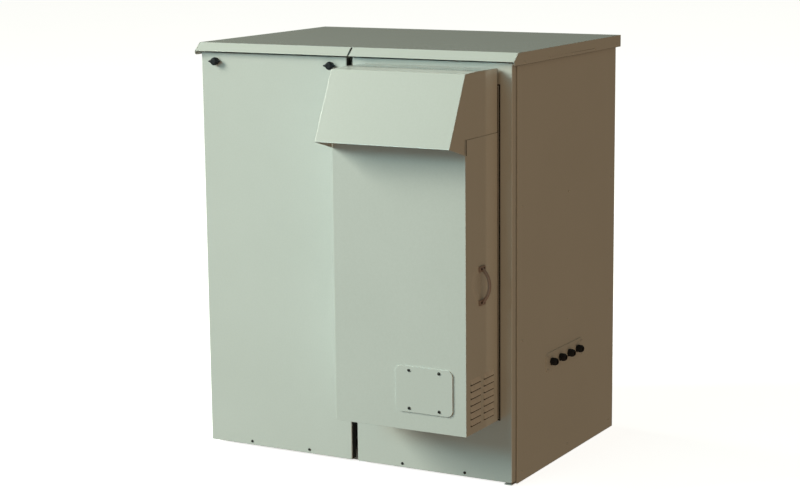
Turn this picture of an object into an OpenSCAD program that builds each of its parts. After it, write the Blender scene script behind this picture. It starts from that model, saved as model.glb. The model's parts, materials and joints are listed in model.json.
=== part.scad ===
// Roadside utility cabinet: two bays, lift-off left cover, right door with a cooling unit.
// Millimetres. Origin: middle of the footprint on the ground. +Z up, front towards -Y.

/* [Whole cabinet] */
// Width over the side panels
cabinet_w = 1165; // [1120:5:1500]
// Depth of the carcass, front flanges to rear flanges
cabinet_d = 790; // [640:5:1000]
// Height from the ground to the top of the roof
cabinet_h = 1400; // [1250:5:1800]

/* [Sheet metal] */
// Thickness of panels, covers and doors
sheet_t = 2; // [1.5:0.5:3]
// Thickness of the folded carcass profiles
frame_t = 2.5; // [2:0.5:4]

/* [Base] */
// Height of the base rails
base_h = 60; // [55:5:120]
// Width of the base rails' bottom flange
base_flange = 60; // [50:5:80]
// Distance between the anchor holes across the width
anchor_span_x = 1000; // [800:10:1060]
// Diameter of the anchor holes
anchor_hole_d = 14; // [10:1:18]

/* [Roof] */
// How far the roof stands out beyond each side panel
roof_overhang = 15.5; // [12:0.5:30]
// How far the roof stands out behind the rear panel
roof_rear_overhang = 5; // [4:1:20]
// Height of the side and rear skirts of the roof
skirt_h = 40; // [36:1:44]
// Forward reach of the sloping front fascia
fascia_reach = 31.5; // [20:0.5:40]
// Drop of the sloping front fascia
fascia_drop = 27; // [20:1:30]
// Slit between the left and right fascia
fascia_slit = 6; // [4:1:14]
// Spacing of the screws along the roof skirts
roof_screw_pitch = 185; // [120:5:230]

/* [Front panels] */
// Gap between the left cover and the right door
panel_gap = 22.5; // [14:0.5:28]
// Sideways place of that gap's middle
panel_split_x = -3.75; // [-10:0.25:10]
// Thickness of the cover and the door
panel_t = 28; // [24:1:36]
// Space between the panels and the carcass front, taken up by the seal
seal_space = 12; // [10:1:16]
// Height of the panels' lower edge above the ground
panel_bottom = 12; // [8:1:20]
// Width of the panels' folded return at the back
panel_return = 60; // [56:1:80]
// Spacing of the two lower screws
lower_screw_span = 232; // [150:2:320]
// Height of the lower screws above the ground
lower_screw_z = 25.5; // [22:0.5:32]

/* [Wing knobs] */
// Spacing of the two wing knobs
knob_span = 451; // [300:1:500]
// Distance of the knobs below the roof top
knob_drop = 61; // [58:0.5:66]
// Width over the wings
knob_w = 46; // [36:1:60]
// Diameter of the round boss
knob_boss_d = 26; // [20:1:34]
// How far the knob stands out
knob_out = 20; // [14:1:30]
// Diameter of the stud
knob_stud_d = 8; // [6:1:10]

/* [Cooling unit] */
// Door margin to the left of the unit
unit_margin_left = 56.5; // [40:0.5:90]
// Door margin to the right of the unit
unit_margin_right = 46.5; // [44:0.5:80]
// Depth of the casing
unit_d = 224; // [200:1:300]
// Height of the casing's underside
unit_bottom = 218; // [150:1:300]
// Thickness of the gasket behind the casing
unit_gasket_t = 8; // [4:1:14]
// Distance from the roof top to the hood top
hood_drop = 48; // [46:1:80]
// Height of the hood, top to side seam
hood_side_h = 200; // [180:0.5:230]
// Depth of the hood's flat top over a unit as deep as hood_unit_d
hood_top_d = 219; // [180:0.5:226]
// Forward reach of the hood's sloping front
hood_reach = 108; // [90:0.1:140]
// Drop of the hood's sloping front
hood_front_drop = 218; // [190:1:240]
// Drop from the hood's front lip to the back of its cheeks
hood_cheek_drop = 30; // [10:1:34]

/* [Unit details] */
// Width of the front cover plate
plate_w = 202; // [150:1:240]
// Height of the front cover plate
plate_h = 149; // [110:1:180]
// Sideways place of the plate from the unit's middle
plate_offset_x = 89; // [60:1:100]
// Height of the plate's middle above the casing's underside
plate_mid_z = 134; // [110:1:160]
// Spacing of the plate screws across
plate_screw_x = 107; // [80:1:130]
// Spacing of the plate screws up
plate_screw_z = 123; // [90:1:130]
// Length of each louvre
louvre_l = 75; // [50:1:80]
// Distance between the middles of the two louvre columns
louvre_column = 92; // [84:1:110]
// Vertical pitch of the louvres
louvre_pitch = 22; // [20:1:30]
// Number of louvre rows
louvre_rows = 7; // [4:1:9]
// How far a louvre stands out
louvre_out = 4; // [3:0.5:6]

/* [Bow handles] */
// Distance between the feet's middles
handle_span = 107; // [90:1:140]
// How far the bow stands out
handle_out = 34; // [30:1:44]
// Thickness of the round bow
handle_bar_d = 11; // [9:1:14]
// Height of the handle's middle above the casing's underside
handle_mid_z = 465.5; // [400:0.5:520]
// Distance from the middle of the casing's side to the handles, towards the front
handle_forward = 5; // [-40:1:40]

/* [Cable entry] */
// Number of cable glands
gland_count = 4; // [2:1:4]
// Distance between glands
gland_pitch = 70; // [50:1:76]
// Diameter of a gland's cap
gland_cap_d = 27; // [22:1:32]
// Diameter of the cable bore in a gland
gland_bore_d = 12; // [8:1:14]
// Height of the glands
gland_z = 354; // [300:1:420]
// Place of the glands' middle along the depth
gland_mid_y = -33; // [-80:1:80]

/* [Inside] */
// Hole to hole width of a 19 inch rack
rack_w = 465; // [450:1:470]
// Width of the rack rail's face
rail_face = 24; // [20:1:26]
// Pitch of the holes in the rack rails
rail_pitch = 44.45; // [44.45]
// Diameter of the fans' impellers
fan_d = 150; // [120:1:156]
// Number of fan blades
fan_blades = 7; // [5:1:9]

/* [Fits] */
// Radial running clearance of studs, pivots and fan shafts
run_gap = 0.06; // [0.03:0.01:0.09]
// Radial clearance of the studs and spigots in the carcass
stud_gap = 1; // [0.6:0.1:1.5]

/* [Hidden] */
$fn = 48;
half_w = cabinet_w / 2;
half_d = cabinet_d / 2;
in_x = half_w - sheet_t;
in_y = half_d - sheet_t;
floor_top = base_h + sheet_t;
frame_top = cabinet_h - 44;
head_h = 40;
head_bottom = frame_top - head_h;
butt = 0.4;
post_w = 50;
mullion_w = 60;
ceiling_top = frame_top + 1.5;
side_top = cabinet_h - 15;

door_back = -half_d - seal_space;
door_front = door_back - panel_t;
panel_top = cabinet_h - 32;
panel_h = panel_top - panel_bottom;
cover_x1 = panel_split_x - panel_gap / 2;
cover_w = half_w + cover_x1;
cover_mid = (cover_x1 - half_w) / 2;
door_x0 = panel_split_x + panel_gap / 2;
door_w = half_w - door_x0;
door_mid = (door_x0 + half_w) / 2;
knob_z = cabinet_h - knob_drop;

seal_t = seal_space + sheet_t - 0.5;
seal_w = 14;
seal_in = 34;

pivot_r = 4;
pivot_x = half_w - 14.5;
pivot_y = door_front + 11;
bush_r = 7;
bush_h = 20;

unit_x0 = door_x0 + unit_margin_left;
unit_x1 = half_w - unit_margin_right;
unit_w = unit_x1 - unit_x0;
unit_mid = (unit_x0 + unit_x1) / 2;
unit_back = door_front - unit_gasket_t;
unit_front = unit_back - unit_d;
unit_mid_y = unit_back - unit_d / 2;
hood_top = cabinet_h - hood_drop;
casing_top = hood_top - 52;
hood_seam = hood_top - hood_side_h;
hood_gap = 1.5;
// The casing steps in under the hood, so that the hood's cheeks stand flush with its sides
hood_step = hood_gap + sheet_t;
step_z = hood_seam - 1.5;
hood_back = unit_back - 2;
// A deeper unit pushes the whole hood out with it
hood_unit_d = 224;
hood_fold = hood_back - hood_top_d - (unit_d - hood_unit_d);
hood_lip_y = hood_fold - hood_reach;
hood_lip_z = hood_top - hood_front_drop;
hood_cheek_z = hood_lip_z - hood_cheek_drop;
hood_cheek_y = unit_front - hood_gap;
fan_frame = fan_d + 20;
fan_frame_t = 38;
fan_pin_r = 4;
hub_r = 26;
outlet_w = 300;
outlet_h = 110;
outlet_z = casing_top - sheet_t - fan_frame / 2;
lower_air_z = unit_bottom + 37 + fan_frame / 2;
upper_air_z = outlet_z;
plate_t = 4;
plate_x = unit_mid + plate_offset_x;
plate_z = unit_bottom + plate_mid_z;
louvre_z0 = unit_bottom + 31;
louvre_h = 15;
handle_z = unit_bottom + handle_mid_z;
foot_t = 6;
foot_w = 38;
foot_h = 18;
foot_screw = 9.5;

gland_plate_l = (gland_count - 1) * gland_pitch + 80;
gland_plate_h = 64;
gland_plate_t = 3;
gland_shank_r = 10;

roof_x = half_w + roof_overhang;
roof_front = door_front + 12.5;
roof_rear = half_d + sheet_t + roof_rear_overhang;
skirt_z = cabinet_h - skirt_h;
fascia_tip_y = roof_front - fascia_reach;
fascia_tip_z = cabinet_h - fascia_drop;
roof_screw_z = skirt_z + 7;

// ---- helpers ----

// Box from one corner to the opposite one
module box(a, b) {
    translate([min(a[0], b[0]), min(a[1], b[1]), min(a[2], b[2])])
        cube([abs(b[0] - a[0]), abs(b[1] - a[1]), abs(b[2] - a[2])]);
}

// Round bar along +X, +Y or +Z
module bar_x(p, r, l) { translate(p) rotate([0, 90, 0]) cylinder(r = r, h = l); }
module bar_y(p, r, l) { translate(p) rotate([-90, 0, 0]) cylinder(r = r, h = l); }
module bar_z(p, r, l) { translate(p) cylinder(r = r, h = l); }

// Outline in the Y-Z plane pulled along X
module yz_slab(x0, x1, pts) {
    translate([x0, 0, 0]) rotate([90, 0, 90]) linear_extrude(height = x1 - x0) polygon(pts);
}

// Upright rectangle with round corners in the Y-Z plane, pulled along X
module yz_plate(x0, t, y, z, l, h, r) {
    translate([x0, y, z]) rotate([90, 0, 90]) linear_extrude(height = t) rounded(l, h, r);
}

// Rectangle with round corners
module rounded(w, h, r) {
    square([w - 2 * r, h], center = true);
    square([w, h - 2 * r], center = true);
    for (sx = [-1, 1])
        for (sz = [-1, 1])
            translate([sx * (w / 2 - r), sz * (h / 2 - r)]) circle(r = r);
}

// Folded tray: front skin, edges and a return flange at the back
module tray(x0, x1) {
    difference() {
        box([x0, door_front, panel_bottom], [x1, door_back, panel_top]);
        box([x0 + sheet_t, door_front + sheet_t, panel_bottom + sheet_t],
            [x1 - sheet_t, door_back - sheet_t, panel_top - sheet_t]);
        box([x0 + panel_return, door_back - sheet_t - 1, panel_bottom + panel_return],
            [x1 - panel_return, door_back + 1, panel_top - panel_return]);
    }
}

// Rectangular ring standing in the X-Z plane
module ring_xz(x0, x1, z0, z1, y0, y1, w) {
    difference() {
        box([x0, y0, z0], [x1, y1, z1]);
        box([x0 + w, y0 - 1, z0 + w], [x1 - w, y1 + 1, z1 - w]);
    }
}

// ---- carcass ----

base_grey = [0.45, 0.47, 0.44];
paint = [0.76, 0.79, 0.73];

module base_rails() {
    color(base_grey) {
        for (s = [-1, 1]) {
            // front and rear channels
            difference() {
                box([-in_x, s * in_y, 0], [in_x, s * (in_y - base_flange), base_h]);
                box([-in_x - 1, s * (in_y - frame_t), frame_t],
                    [in_x + 1, s * (in_y - base_flange - 1), base_h - frame_t]);
                for (sx = [-1, 1])
                    bar_z([sx * anchor_span_x / 2, s * (in_y - base_flange / 2), -1],
                          anchor_hole_d / 2, frame_t + 2);
                // access above the anchor holes
                for (sx = [-1, 1])
                    bar_z([sx * anchor_span_x / 2, s * (in_y - base_flange / 2), base_h - frame_t - 1],
                          anchor_hole_d, frame_t + 2);
                if (s == -1)
                    for (sx = [-1, 1])
                        bar_y([cover_mid + sx * lower_screw_span / 2, -in_y - 1, lower_screw_z],
                              knob_stud_d / 2 + stud_gap, frame_t + 2);
            }
            // side channels
            difference() {
                box([s * in_x, -in_y + base_flange + butt, 0],
                    [s * (in_x - base_flange), in_y - base_flange - butt, base_h]);
                box([s * (in_x - frame_t), -in_y, frame_t],
                    [s * (in_x - base_flange - 1), in_y, base_h - frame_t]);
            }
        }
    }
}

module floor_plate() {
    color(base_grey)
        difference() {
            box([-in_x, -in_y, base_h], [in_x, in_y, floor_top]);
            for (s = [-1, 1])
                for (sx = [-1, 1])
                    bar_z([sx * anchor_span_x / 2, s * (in_y - base_flange / 2), base_h - 1],
                          anchor_hole_d, sheet_t + 2);
        }
}

module corner_posts() {
    color(base_grey)
        for (sx = [-1, 1])
            for (sy = [-1, 1])
                difference() {
                    box([sx * in_x, sy * in_y, floor_top],
                        [sx * (in_x - post_w), sy * (in_y - post_w), head_bottom]);
                    box([sx * (in_x - frame_t), sy * (in_y - frame_t), floor_top - 1],
                        [sx * (in_x - post_w - 1), sy * (in_y - post_w - 1), head_bottom + 1]);
                }
}

module mullion() {
    color(base_grey)
        difference() {
            box([panel_split_x - mullion_w / 2, -in_y, floor_top],
                [panel_split_x + mullion_w / 2, -in_y + 40, head_bottom]);
            box([panel_split_x - mullion_w / 2 + frame_t, -in_y + frame_t, floor_top - 1],
                [panel_split_x + mullion_w / 2 - frame_t, -in_y + 41, head_bottom + 1]);
        }
}

module top_rails() {
    color(base_grey)
        for (s = [-1, 1]) {
            difference() {
                box([-in_x, s * in_y, head_bottom], [in_x, s * (in_y - head_h), frame_top]);
                box([-in_x - 1, s * (in_y - frame_t), head_bottom - 1],
                    [in_x + 1, s * (in_y - head_h - 1), frame_top - frame_t]);
                if (s == -1)
                    for (sx = [-1, 1])
                        bar_y([cover_mid + sx * knob_span / 2, -in_y - 1, knob_z],
                              knob_stud_d / 2 + stud_gap, frame_t + 2);
            }
            difference() {
                box([s * in_x, -in_y + head_h + butt, head_bottom],
                    [s * (in_x - head_h), in_y - head_h - butt, frame_top]);
                box([s * (in_x - frame_t), -in_y, head_bottom - 1],
                    [s * (in_x - head_h - 1), in_y, frame_top - frame_t]);
            }
        }
}

module ceiling_panel() {
    color(paint) box([-in_x, -in_y, frame_top], [in_x, in_y, ceiling_top]);
}

side_screw_y = [-half_d + 35, 0, half_d - 35];
side_screw_z = [33, 33 + (cabinet_h - 90) / 3, 33 + 2 * (cabinet_h - 90) / 3];
screw_r = 2.6;

module side_sheet(s) {
    difference() {
        box([s * half_w, -half_d, 1], [s * (half_w - 20), half_d, side_top]);
        box([s * in_x, -in_y, 0], [s * (half_w - 21), in_y, side_top + 1]);
        for (y = side_screw_y)
            for (z = side_screw_z)
                bar_x([s * half_w - 5, y, z], screw_r, 10);
    }
}

module side_panel_left() { color(paint) side_sheet(-1); }

module side_panel_right() {
    color(paint)
        difference() {
            side_sheet(1);
            box([in_x - 1, gland_mid_y - gland_plate_l / 2 + 22, gland_z - 20],
                [half_w + 1, gland_mid_y + gland_plate_l / 2 - 22, gland_z + 20]);
        }
}

rear_screw_x = [-half_w + 14, -half_w / 2, 0, half_w / 2, half_w - 14];

module rear_panel() {
    color(paint)
        difference() {
            box([-half_w + 4, half_d, 8], [half_w - 4, half_d + sheet_t, side_top]);
            for (x = rear_screw_x)
                for (z = [side_screw_z[0], side_screw_z[1], side_screw_z[2]])
                    bar_y([x, half_d - 1, z], screw_r, sheet_t + 2);
        }
}

// ---- roof ----

module roof_cover() {
    color(paint)
        difference() {
            union() {
                box([-roof_x, roof_front + 1, cabinet_h - sheet_t], [roof_x, roof_rear, cabinet_h]);
                box([-roof_x, roof_rear - sheet_t, skirt_z], [roof_x, roof_rear, cabinet_h]);
                for (s = [-1, 1])
                    yz_slab(s > 0 ? roof_x - sheet_t : -roof_x, s > 0 ? roof_x : -roof_x + sheet_t, [
                        [roof_front, cabinet_h], [fascia_tip_y, fascia_tip_z],
                        [fascia_tip_y + 1, skirt_z + 6], [fascia_tip_y + 3, skirt_z + 2.5],
                        [fascia_tip_y + 8, skirt_z], [roof_rear, skirt_z], [roof_rear, cabinet_h]]);
            }
            for (s = [-1, 1])
                for (i = [0 : 4])
                    bar_x([s * roof_x - 5, (i - 2) * roof_screw_pitch - 7, roof_screw_z], screw_r, 10);
        }
}

module roof_rails() {
    color(base_grey)
        for (s = [-1, 1])
            box([s * half_w, -half_d + 12, skirt_z + 3], [s * (roof_x - sheet_t), half_d, cabinet_h - 12]);
}

// Two cross members and a front closing angle between ceiling and roof
module roof_supports() {
    color(base_grey) {
        difference() {
            box([-in_x, -in_y, ceiling_top], [in_x, -in_y + 38, cabinet_h - sheet_t - 2]);
            box([-in_x - 1, -in_y + frame_t, ceiling_top + frame_t], [in_x + 1, -in_y + 39, cabinet_h]);
        }
        for (y = [0, half_d - 60])
            difference() {
                box([-in_x, y, ceiling_top], [in_x, y + 40, cabinet_h - sheet_t]);
                box([-in_x - 1, y + frame_t, ceiling_top - 1],
                    [in_x + 1, y + 40 - frame_t, cabinet_h - sheet_t - frame_t]);
            }
    }
}

// Folded strip: flange under the roof sheet, sloping face and a short lip
module fascia(x0, x1) {
    k = fascia_reach / fascia_drop;
    color(paint)
        yz_slab(x0, x1, [
            [-in_y + 30, cabinet_h - sheet_t], [roof_front + 1, cabinet_h - sheet_t],
            [roof_front + 1, cabinet_h], [roof_front, cabinet_h],
            [fascia_tip_y, fascia_tip_z], [fascia_tip_y + 12, fascia_tip_z],
            [fascia_tip_y + 12, fascia_tip_z + 1.6], [fascia_tip_y + 4, fascia_tip_z + 1.6],
            [roof_front + 1.6, cabinet_h - 4], [-in_y + 30, cabinet_h - 4]]);
}

module fascia_left() { fascia(-roof_x + sheet_t, -fascia_slit / 2); }

module fascia_right() { fascia(fascia_slit / 2, roof_x - sheet_t); }

module roof_screws() {
    color([0.2, 0.2, 0.19])
        for (s = [-1, 1])
            for (i = [0 : 4]) {
                y = (i - 2) * roof_screw_pitch - 7;
                translate([s * roof_x, y, roof_screw_z]) rotate([0, s * 90, 0]) {
                    cylinder(r = 4.5, h = 1.4);
                    translate([0, 0, 1.4]) cylinder(r1 = 4.5, r2 = 2.6, h = 1);
                    translate([0, 0, -sheet_t]) cylinder(r = 2.5, h = sheet_t + 1);
                }
            }
}

// ---- seals and inside ----

module seal_ring(x0, x1) {
    color([0.08, 0.08, 0.08])
        ring_xz(x0, x1, base_h - 20, head_bottom + 15, -in_y - seal_t, -in_y, seal_w);
}

module seal_left() { seal_ring(-half_w + seal_in, cover_x1 - 2); }

module seal_right() { seal_ring(door_x0 + 2, half_w - seal_in); }

bay_mid = [(-in_x + panel_split_x) / 2, (in_x + panel_split_x) / 2];

module rack_rail(x, y, sx, sy) {
    rail_h = frame_top - floor_top;
    translate([x, y, floor_top]) {
        difference() {
            box([-rail_face / 2, 0, 0], [rail_face / 2, sy * sheet_t, rail_h]);
            for (i = [1 : floor(rail_h / rail_pitch) - 1])
                bar_y([0, -5, i * rail_pitch], 3.5, 10);
        }
        box([sx * rail_face / 2, 0, 0], [sx * (rail_face / 2 - sheet_t), sy * 30, rail_h]);
    }
}

module rack_rails() {
    color([0.75, 0.77, 0.8])
        for (m = bay_mid)
            for (s = [-1, 1]) {
                rack_rail(m + s * rack_w / 2, -in_y + 62, s, 1);
                rack_rail(m + s * rack_w / 2, in_y - 92, s, -1);
            }
}

module gland_plate() {
    color(paint)
        difference() {
            yz_plate(half_w, gland_plate_t, gland_mid_y, gland_z, gland_plate_l, gland_plate_h, 12);
            for (i = [0 : gland_count - 1])
                bar_x([half_w - 1, gland_mid_y + (i - (gland_count - 1) / 2) * gland_pitch, gland_z],
                      gland_shank_r, gland_plate_t + 2);
            for (sy = [-1, 1])
                for (sz = [-1, 1])
                    bar_x([half_w - 1, gland_mid_y + sy * (gland_plate_l / 2 - 9), gland_z + sz * 23],
                          2, gland_plate_t + 2);
        }
}

gland_in = 12;

module cable_glands() {
    x = half_w + gland_plate_t;
    color([0.05, 0.05, 0.05])
        for (i = [0 : gland_count - 1])
            translate([x, gland_mid_y + (i - (gland_count - 1) / 2) * gland_pitch, gland_z])
                rotate([0, 90, 0])
                    difference() {
                        union() {
                            translate([0, 0, -gland_plate_t - gland_in])
                                cylinder(r = gland_shank_r, h = gland_in + gland_plate_t + 1);
                            cylinder(r = gland_cap_d / 2 + 1.5, h = 6, $fn = 6);
                            translate([0, 0, 6]) cylinder(r = gland_cap_d / 2, h = 12);
                            translate([0, 0, 18])
                                cylinder(r1 = gland_cap_d / 2, r2 = gland_cap_d / 2 - 4, h = 5);
                        }
                        translate([0, 0, -30]) cylinder(r = gland_bore_d / 2, h = 60);
                    }
}

module gland_nuts() {
    color([0.05, 0.05, 0.05])
        for (i = [0 : gland_count - 1])
            translate([half_w - 6, gland_mid_y + (i - (gland_count - 1) / 2) * gland_pitch, gland_z])
                rotate([0, 90, 0])
                    difference() {
                        cylinder(r = 15.5, h = 6, $fn = 6);
                        translate([0, 0, -1]) cylinder(r = gland_shank_r, h = 8);
                    }
}

module gland_plate_screws() {
    color([0.25, 0.25, 0.24])
        for (sy = [-1, 1])
            for (sz = [-1, 1])
                translate([half_w + gland_plate_t, gland_mid_y + sy * (gland_plate_l / 2 - 9),
                           gland_z + sz * 23])
                    rotate([0, 90, 0]) {
                        cylinder(r = 3.4, h = 1.6);
                        translate([0, 0, -gland_plate_t]) cylinder(r = 1.9, h = gland_plate_t + 1);
                    }
}

module panel_screw() {
    cylinder(r = 4, h = 1.2);
    translate([0, 0, 1.2]) cylinder(r1 = 4, r2 = 2.4, h = 0.8);
    translate([0, 0, -sheet_t]) cylinder(r = 2.5, h = sheet_t + 1);
}

module panel_screws() {
    color([0.3, 0.3, 0.28]) {
        for (s = [-1, 1])
            for (y = side_screw_y)
                for (z = side_screw_z)
                    translate([s * half_w, y, z]) rotate([0, s * 90, 0]) panel_screw();
        for (x = rear_screw_x)
            for (z = side_screw_z)
                translate([x, half_d + sheet_t, z]) rotate([-90, 0, 0]) panel_screw();
    }
}

module earth_bar() {
    color([0.75, 0.55, 0.25])
        difference() {
            box([-150, in_y - 40, 140], [150, in_y - 34, 165]);
            for (i = [0 : 7])
                bar_y([(i - 3.5) * 36, in_y - 42, 152.5], 4.2, 12);
        }
}

// Spacers hold the bar off the rear panel
module earth_spacers() {
    color([0.6, 0.1, 0.08])
        for (s = [-1, 1])
            bar_y([s * 108, in_y - 34, 152.5], 11, 34 + sheet_t);
}

// Upper and lower arms with the door's pivot pins
module pivot_brackets() {
    color(base_grey) {
        box([pivot_x - 15, -half_d, panel_top + 3], [pivot_x + 12, pivot_y - 8, panel_top + 7]);
        box([pivot_x - 15, -half_d, panel_top - 18], [pivot_x + 12, -half_d - 3, panel_top + 7]);
        bar_z([pivot_x, pivot_y, panel_top - bush_h], pivot_r, bush_h + 4);
        box([pivot_x - 15, -half_d, panel_bottom - 8], [pivot_x + 12, pivot_y - 8, panel_bottom - 4]);
        box([pivot_x - 15, -half_d, panel_bottom - 8], [pivot_x + 12, -half_d - 3, base_h - 15]);
        bar_z([pivot_x, pivot_y, panel_bottom - 6], pivot_r, bush_h + 6);
    }
}

// ---- left cover ----

module left_cover() {
    color(paint)
        difference() {
            tray(-half_w, cover_x1);
            for (s = [-1, 1]) {
                bar_y([cover_mid + s * knob_span / 2, door_front - 1, knob_z],
                      knob_stud_d / 2 + run_gap, panel_t + 2);
                bar_y([cover_mid + s * lower_screw_span / 2, door_front - 1, lower_screw_z],
                      knob_stud_d / 2, panel_t + 2);
            }
        }
}

// Round-headed locating pins; their ends sit in the base rail
module cover_spigots() {
    color([0.2, 0.2, 0.2])
        for (s = [-1, 1])
            translate([cover_mid + s * lower_screw_span / 2, door_front, lower_screw_z])
                rotate([-90, 0, 0]) {
                    cylinder(r = knob_stud_d / 2, h = panel_t + seal_space + 12);
                    translate([0, 0, panel_t + seal_space + 12])
                        cylinder(r1 = knob_stud_d / 2, r2 = knob_stud_d / 2 - 2, h = 4);
                    translate([0, 0, -2]) cylinder(r1 = 3, r2 = 5, h = 2);
                }
}

module wing_knob(x) {
    translate([x, door_front - 0.3, knob_z]) rotate([90, 0, 0]) {
        cylinder(r = knob_boss_d / 2, h = knob_out * 0.7);
        translate([0, 0, knob_out * 0.7])
            cylinder(r1 = knob_boss_d / 2, r2 = knob_boss_d / 2 - 3, h = 2.5);
        translate([0, 0, 3])
            linear_extrude(height = knob_out - 3)
                polygon([[-knob_w / 2, -2.5], [-knob_w / 2, 2.5], [-8, 6], [8, 6],
                         [knob_w / 2, 2.5], [knob_w / 2, -2.5], [8, -6], [-8, -6]]);
        translate([0, 0, -panel_t - seal_space - 14])
            cylinder(r = knob_stud_d / 2, h = panel_t + seal_space + 15);
    }
}

module knob_left() { color([0.03, 0.04, 0.05]) wing_knob(cover_mid - knob_span / 2); }

module knob_right() { color([0.03, 0.04, 0.05]) wing_knob(cover_mid + knob_span / 2); }

// ---- right door ----

module right_door() {
    color(paint)
        difference() {
            tray(door_x0, half_w);
            // air openings behind the unit
            bar_y([unit_mid, door_front - 1, lower_air_z], fan_d / 2 + 4, sheet_t + 2);
            box([unit_mid - outlet_w / 2, door_front - 1, upper_air_z - outlet_h / 2],
                [unit_mid + outlet_w / 2, door_front + sheet_t + 1, upper_air_z + outlet_h / 2]);
            for (s = [-1, 1])
                bar_y([door_mid + s * lower_screw_span / 2, door_front - 1, lower_screw_z],
                      3, sheet_t + 2);
            bar_z([pivot_x, pivot_y, panel_bottom - 1], pivot_r + run_gap, sheet_t + 2);
            bar_z([pivot_x, pivot_y, panel_top - sheet_t - 1], pivot_r + run_gap, sheet_t + 2);
        }
}

module pivot_bush(z) {
    difference() {
        bar_z([pivot_x, pivot_y, z], bush_r, bush_h);
        bar_z([pivot_x, pivot_y, z - 1], pivot_r + run_gap, bush_h + 2);
    }
}

module pivot_bushes() {
    color([0.55, 0.56, 0.58]) {
        pivot_bush(panel_bottom + sheet_t);
        pivot_bush(panel_top - sheet_t - bush_h);
    }
}

module door_screws() {
    color([0.2, 0.2, 0.2])
        for (s = [-1, 1])
            translate([door_mid + s * lower_screw_span / 2, door_front, lower_screw_z])
                rotate([-90, 0, 0]) {
                    cylinder(r = 3, h = 12);
                    translate([0, 0, -2]) cylinder(r1 = 3, r2 = 5, h = 2);
                }
}

// ---- cooling unit on the door ----

module unit_gasket() {
    color([0.03, 0.03, 0.03])
        ring_xz(unit_x0 + 2, unit_x1 - 2, unit_bottom + 2, casing_top - 6,
                unit_back, door_front, 22);
}

module louvres(s, cut) {
    x = s > 0 ? unit_x1 : unit_x0;
    for (c = [-1, 1])
        for (i = [0 : louvre_rows - 1])
            translate([x, unit_mid_y + c * louvre_column / 2, louvre_z0 + i * louvre_pitch])
                if (cut == 0)
                    translate([0, louvre_l / 2, 0]) rotate([90, 0, 0]) linear_extrude(height = louvre_l)
                        polygon([[-s * 0.5, louvre_h], [0, louvre_h], [s * louvre_out, 0], [-s * 0.5, 0]]);
                else
                    translate([0, louvre_l / 2 - 2, 0]) rotate([90, 0, 0]) linear_extrude(height = louvre_l - 4)
                        polygon([[-s * 4, louvre_h - 6], [0, louvre_h - 6],
                                 [s * (louvre_out - 1.4), 0], [s * (louvre_out - 1.4), -1], [-s * 4, -1]]);
}

module unit_casing() {
    color(paint)
        difference() {
            union() {
                difference() {
                    union() {
                        box([unit_x0, unit_front, unit_bottom], [unit_x1, unit_back, step_z]);
                        box([unit_x0 + hood_step, unit_front, step_z - 1],
                            [unit_x1 - hood_step, unit_back, casing_top]);
                    }
                    box([unit_x0 + sheet_t, unit_front + sheet_t, unit_bottom + sheet_t],
                        [unit_x1 - sheet_t, unit_back - sheet_t, step_z - sheet_t]);
                    box([unit_x0 + hood_step + sheet_t, unit_front + sheet_t, step_z - sheet_t - 1],
                        [unit_x1 - hood_step - sheet_t, unit_back - sheet_t, casing_top - sheet_t]);
                    box([unit_x0 + 30, unit_back - sheet_t - 1, unit_bottom + 30],
                        [unit_x1 - 30, unit_back + 1, casing_top - 30]);
                }
                for (s = [-1, 1]) louvres(s, 0);
            }
            for (s = [-1, 1]) louvres(s, 1);
            // warm air outlet under the hood
            bar_y([unit_mid, unit_front - 1, outlet_z], fan_d / 2 + 2, sheet_t + 2);
            // access hole behind the cover plate
            box([plate_x - 70, unit_front - 1, plate_z - 45],
                [plate_x + 70, unit_front + sheet_t + 1, plate_z + 45]);
            for (sx = [-1, 1])
                for (sz = [-1, 1])
                    bar_y([plate_x + sx * plate_screw_x / 2, unit_front - 1, plate_z + sz * plate_screw_z / 2],
                          screw_r, sheet_t + 2);
        }
}

module hood_cheek(x0) {
    yz_slab(x0, x0 + sheet_t, [
        [hood_back, hood_seam], [hood_back, hood_top], [hood_fold, hood_top],
        [hood_lip_y, hood_lip_z], [hood_cheek_y, hood_cheek_z], [hood_cheek_y, hood_seam]]);
}

module hood_cover() {
    n = sqrt(hood_reach * hood_reach + hood_front_drop * hood_front_drop);
    dy = sheet_t * n / hood_front_drop;
    color(paint) {
        hood_cheek(unit_x0);
        hood_cheek(unit_x1 - sheet_t);
        box([unit_x0, hood_fold, hood_top - sheet_t], [unit_x1, hood_back, hood_top]);
        yz_slab(unit_x0, unit_x1, [
            [hood_fold, hood_top], [hood_fold + dy, hood_top], [hood_fold + dy, hood_top - sheet_t],
            [hood_lip_y + dy, hood_lip_z], [hood_lip_y, hood_lip_z]]);
    }
}

// Foam strips between the casing's sides and the hood's cheeks
module hood_strips() {
    color([0.08, 0.08, 0.08]) {
        for (x = [unit_x0 + sheet_t, unit_x1 - hood_step])
            box([x, unit_front + 8, hood_seam + 12], [x + hood_gap, unit_back - 8, casing_top - 4]);
    }
}

// Flat bar guard over the outlet
module outlet_guard() {
    g = fan_d + 14;
    color([0.2, 0.2, 0.2]) {
        ring_xz(unit_mid - g / 2, unit_mid + g / 2, outlet_z - g / 2, outlet_z + g / 2,
                unit_front - 3, unit_front, 8);
        for (i = [1 : 9])
            box([unit_mid - g / 2 + 7, unit_front - 2.6, outlet_z - g / 2 + i * g / 10 - 1.2],
                [unit_mid + g / 2 - 7, unit_front - 0.6, outlet_z - g / 2 + i * g / 10 + 1.2]);
    }
}

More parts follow.
